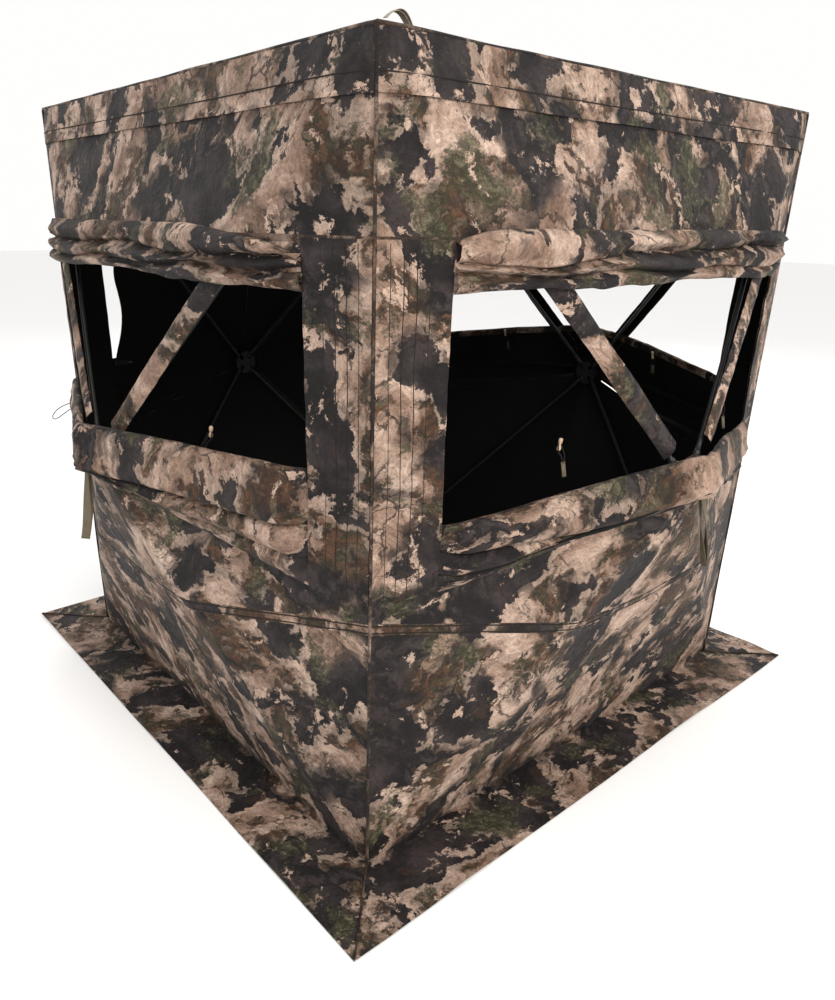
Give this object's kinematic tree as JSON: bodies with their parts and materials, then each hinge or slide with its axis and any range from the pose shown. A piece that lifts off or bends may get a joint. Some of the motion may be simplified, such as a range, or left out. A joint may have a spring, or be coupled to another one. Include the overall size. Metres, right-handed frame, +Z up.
{
  "type": "pop up ground blind",
  "caption": "Square pop-up cloth shelter held open by sprung rods and central hubs in each wall and the roof, with wide windows, a zipped door and a ground flap.",
  "frame": {"origin": "middle of the footprint, on the ground", "axes": "+Z up; -Y is the front wall, +X the right wall, -X the left wall with the door"},
  "size_m": [2.0086, 2.0086, 1.8112],
  "materials": {
    "camo_cloth": "matte woven polyester, printed outside, black inside",
    "black_cloth": "matte black cloth and zip tape",
    "webbing": "olive polyester webbing",
    "black_elastic": "braided elastic cord",
    "black_plastic": "moulded black nylon",
    "tan_plastic": "moulded tan nylon",
    "fibreglass": "black pultruded fibreglass",
    "steel": "plain steel"
  },
  "bodies": {
    "root": {"roof_panel": "camo_cloth", "roof_hem": "camo_cloth", "wall_front": "camo_cloth", "wall_right": "camo_cloth", "wall_back": "camo_cloth", "wall_left": "camo_cloth", "rod_sleeves": "camo_cloth", "corner_panels": "camo_cloth", "ground_skirt": "camo_cloth", "corner_pockets": "black_cloth", "upper_covers": "camo_cloth", "lower_cover_front": "camo_cloth", "lower_cover_right": "camo_cloth", "lower_cover_back": "camo_cloth", "window_cover_left": "camo_cloth", "window_toggles": "tan_plastic", "cinch_cord": "black_elastic"},
    "hub_front": {"hub_front": "black_plastic", "hub_cap_front": "black_plastic", "hub_pins_front": "steel", "pull_strap_front": "webbing"},
    "rod_front_top_left": {"rod_front_top_left": "fibreglass"},
    "rod_front_top_right": {"rod_front_top_right": "fibreglass"},
    "rod_front_low_left": {"rod_front_low_left": "fibreglass"},
    "rod_front_low_right": {"rod_front_low_right": "fibreglass"},
    "hub_right": {"hub_right": "black_plastic", "hub_cap_right": "black_plastic", "hub_pins_right": "steel", "pull_strap_right": "webbing"},
    "rod_right_top_left": {"rod_right_top_left": "fibreglass"},
    "rod_right_top_right": {"rod_right_top_right": "fibreglass"},
    "rod_right_low_left": {"rod_right_low_left": "fibreglass"},
    "rod_right_low_right": {"rod_right_low_right": "fibreglass"},
    "hub_back": {"hub_back": "black_plastic", "hub_cap_back": "black_plastic", "hub_pins_back": "steel", "pull_strap_back": "webbing"},
    "rod_back_top_left": {"rod_back_top_left": "fibreglass"},
    "rod_back_top_right": {"rod_back_top_right": "fibreglass"},
    "rod_back_low_left": {"rod_back_low_left": "fibreglass"},
    "rod_back_low_right": {"rod_back_low_right": "fibreglass"},
    "hub_left": {"hub_left": "black_plastic", "hub_cap_left": "black_plastic", "hub_pins_left": "steel", "pull_strap_left": "webbing"},
    "rod_left_top_left": {"rod_left_top_left": "fibreglass"},
    "rod_left_top_right": {"rod_left_top_right": "fibreglass"},
    "rod_left_low_left": {"rod_left_low_left": "fibreglass"},
    "rod_left_low_right": {"rod_left_low_right": "fibreglass"},
    "hub_roof": {"hub_roof": "black_plastic", "hub_cap_roof": "black_plastic", "hub_pins_roof": "steel", "pull_strap_roof": "webbing"},
    "rod_roof_back_left": {"rod_roof_back_left": "fibreglass"},
    "rod_roof_back_right": {"rod_roof_back_right": "fibreglass"},
    "rod_roof_front_left": {"rod_roof_front_left": "fibreglass"},
    "rod_roof_front_right": {"rod_roof_front_right": "fibreglass"},
    "door_side": {"door_zips": "black_cloth"},
    "door": {"door_flap": "camo_cloth"},
    "zip_slider": {"zip_slider": "steel"}
  },
  "joints": [
    {"name": "hub_slide_front", "type": "slide", "parent": "root", "child": "hub_front", "axis": [0, -1, 0], "range_m": [-0.48, 0], "deforming": ["pull_strap_front"]},
    {"name": "rod_turn_front_top_left", "type": "hinge", "parent": "hub_front", "child": "rod_front_top_left", "pos_m": [-0.02013, -0.947, 0.83225], "axis": [-0.7415, 0, -0.6709], "range_deg": [-28.07, 0]},
    {"name": "rod_turn_front_top_right", "type": "hinge", "parent": "hub_front", "child": "rod_front_top_right", "pos_m": [0.02013, -0.947, 0.83225], "axis": [-0.7415, 0, 0.6709], "range_deg": [-28.07, 0]},
    {"name": "rod_turn_front_low_left", "type": "hinge", "parent": "hub_front", "child": "rod_front_low_left", "pos_m": [-0.02013, -0.947, 0.78775], "axis": [0.7415, 0, -0.6709], "range_deg": [-28.07, 0]},
    {"name": "rod_turn_front_low_right", "type": "hinge", "parent": "hub_front", "child": "rod_front_low_right", "pos_m": [0.02013, -0.947, 0.78775], "axis": [0.7415, 0, 0.6709], "range_deg": [-28.07, 0]},
    {"name": "hub_slide_right", "type": "slide", "parent": "root", "child": "hub_right", "axis": [1, 0, 0], "range_m": [-0.48, 0], "deforming": ["pull_strap_right"]},
    {"name": "rod_turn_right_top_left", "type": "hinge", "parent": "hub_right", "child": "rod_right_top_left", "pos_m": [0.947, -0.02013, 0.83225], "axis": [0, -0.7415, -0.6709], "range_deg": [-28.07, 0]},
    {"name": "rod_turn_right_top_right", "type": "hinge", "parent": "hub_right", "child": "rod_right_top_right", "pos_m": [0.947, 0.02013, 0.83225], "axis": [0, -0.7415, 0.6709], "range_deg": [-28.07, 0]},
    {"name": "rod_turn_right_low_left", "type": "hinge", "parent": "hub_right", "child": "rod_right_low_left", "pos_m": [0.947, -0.02013, 0.78775], "axis": [0, 0.7415, -0.6709], "range_deg": [-28.07, 0]},
    {"name": "rod_turn_right_low_right", "type": "hinge", "parent": "hub_right", "child": "rod_right_low_right", "pos_m": [0.947, 0.02013, 0.78775], "axis": [0, 0.7415, 0.6709], "range_deg": [-28.07, 0]},
    {"name": "hub_slide_back", "type": "slide", "parent": "root", "child": "hub_back", "axis": [0, 1, 0], "range_m": [-0.48, 0], "deforming": ["pull_strap_back"]},
    {"name": "rod_turn_back_top_left", "type": "hinge", "parent": "hub_back", "child": "rod_back_top_left", "pos_m": [0.02013, 0.947, 0.83225], "axis": [0.7415, 0, -0.6709], "range_deg": [-28.07, 0]},
    {"name": "rod_turn_back_top_right", "type": "hinge", "parent": "hub_back", "child": "rod_back_top_right", "pos_m": [-0.02013, 0.947, 0.83225], "axis": [0.7415, 0, 0.6709], "range_deg": [-28.07, 0]},
    {"name": "rod_turn_back_low_left", "type": "hinge", "parent": "hub_back", "child": "rod_back_low_left", "pos_m": [0.02013, 0.947, 0.78775], "axis": [-0.7415, 0, -0.6709], "range_deg": [-28.07, 0]},
    {"name": "rod_turn_back_low_right", "type": "hinge", "parent": "hub_back", "child": "rod_back_low_right", "pos_m": [-0.02013, 0.947, 0.78775], "axis": [-0.7415, 0, 0.6709], "range_deg": [-28.07, 0]},
    {"name": "hub_slide_left", "type": "slide", "parent": "root", "child": "hub_left", "axis": [-1, 0, 0], "range_m": [-0.48, 0], "deforming": ["pull_strap_left"]},
    {"name": "rod_turn_left_top_left", "type": "hinge", "parent": "hub_left", "child": "rod_left_top_left", "pos_m": [-0.947, 0.02013, 0.83225], "axis": [0, 0.7415, -0.6709], "range_deg": [-28.07, 0]},
    {"name": "rod_turn_left_top_right", "type": "hinge", "parent": "hub_left", "child": "rod_left_top_right", "pos_m": [-0.947, -0.02013, 0.83225], "axis": [0, 0.7415, 0.6709], "range_deg": [-28.07, 0]},
    {"name": "rod_turn_left_low_left", "type": "hinge", "parent": "hub_left", "child": "rod_left_low_left", "pos_m": [-0.947, 0.02013, 0.78775], "axis": [0, -0.7415, -0.6709], "range_deg": [-28.07, 0]},
    {"name": "rod_turn_left_low_right", "type": "hinge", "parent": "hub_left", "child": "rod_left_low_right", "pos_m": [-0.947, -0.02013, 0.78775], "axis": [0, -0.7415, 0.6709], "range_deg": [-28.07, 0]},
    {"name": "hub_slide_roof", "type": "slide", "parent": "root", "child": "hub_roof", "axis": [0, 0, 1], "range_m": [-0.34, 0], "deforming": ["pull_strap_roof"]},
    {"name": "rod_turn_roof_back_left", "type": "hinge", "parent": "hub_roof", "child": "rod_roof_back_left", "pos_m": [-0.02121, 0.02121, 1.762], "axis": [-0.7071, -0.7071, 0], "range_deg": [-21.2, 0]},
    {"name": "rod_turn_roof_back_right", "type": "hinge", "parent": "hub_roof", "child": "rod_roof_back_right", "pos_m": [0.02121, 0.02121, 1.762], "axis": [-0.7071, 0.7071, 0], "range_deg": [-21.2, 0]},
    {"name": "rod_turn_roof_front_left", "type": "hinge", "parent": "hub_roof", "child": "rod_roof_front_left", "pos_m": [-0.02121, -0.02121, 1.762], "axis": [0.7071, -0.7071, 0], "range_deg": [-21.2, 0]},
    {"name": "rod_turn_roof_front_right", "type": "hinge", "parent": "hub_roof", "child": "rod_roof_front_right", "pos_m": [0.02121, -0.02121, 1.762], "axis": [0.7071, 0.7071, 0], "range_deg": [-21.2, 0]},
    {"name": "door_side_turn", "type": "hinge", "parent": "root", "child": "door_side", "pos_m": [-0.74153, 0.715, 0.8], "axis": [0, 0, 1], "range_deg": [0, 37.21]},
    {"name": "door_swing", "type": "hinge", "parent": "door_side", "child": "door", "pos_m": [-0.74153, 0.715, 0.8], "axis": [0, 0, -1], "range_deg": [0, 120]},
    {"name": "zip_slide", "type": "slide", "parent": "door_side", "child": "zip_slider", "axis": [0.2143, 0.6564, 0.7234], "range_m": [0, 0.8]}
  ],
  "couplings": [
    {"joint": "rod_turn_front_top_left", "follows": "hub_slide_front", "rad_per_m": 1.019},
    {"joint": "rod_turn_front_top_right", "follows": "hub_slide_front", "rad_per_m": 1.019},
    {"joint": "rod_turn_front_low_left", "follows": "hub_slide_front", "rad_per_m": 1.019},
    {"joint": "rod_turn_front_low_right", "follows": "hub_slide_front", "rad_per_m": 1.019},
    {"joint": "rod_turn_right_top_left", "follows": "hub_slide_right", "rad_per_m": 1.019},
    {"joint": "rod_turn_right_top_right", "follows": "hub_slide_right", "rad_per_m": 1.019},
    {"joint": "rod_turn_right_low_left", "follows": "hub_slide_right", "rad_per_m": 1.019},
    {"joint": "rod_turn_right_low_right", "follows": "hub_slide_right", "rad_per_m": 1.019},
    {"joint": "rod_turn_back_top_left", "follows": "hub_slide_back", "rad_per_m": 1.019},
    {"joint": "rod_turn_back_top_right", "follows": "hub_slide_back", "rad_per_m": 1.019},
    {"joint": "rod_turn_back_low_left", "follows": "hub_slide_back", "rad_per_m": 1.019},
    {"joint": "rod_turn_back_low_right", "follows": "hub_slide_back", "rad_per_m": 1.019},
    {"joint": "rod_turn_left_top_left", "follows": "hub_slide_left", "rad_per_m": 1.019},
    {"joint": "rod_turn_left_top_right", "follows": "hub_slide_left", "rad_per_m": 1.019},
    {"joint": "rod_turn_left_low_left", "follows": "hub_slide_left", "rad_per_m": 1.019},
    {"joint": "rod_turn_left_low_right", "follows": "hub_slide_left", "rad_per_m": 1.019},
    {"joint": "rod_turn_roof_back_left", "follows": "hub_slide_roof", "rad_per_m": 1.0854},
    {"joint": "rod_turn_roof_back_right", "follows": "hub_slide_roof", "rad_per_m": 1.0854},
    {"joint": "rod_turn_roof_front_left", "follows": "hub_slide_roof", "rad_per_m": 1.0854},
    {"joint": "rod_turn_roof_front_right", "follows": "hub_slide_roof", "rad_per_m": 1.0854},
    {"joint": "door_side_turn", "follows": "hub_slide_left", "rad_per_m": -1.3493}
  ]
}
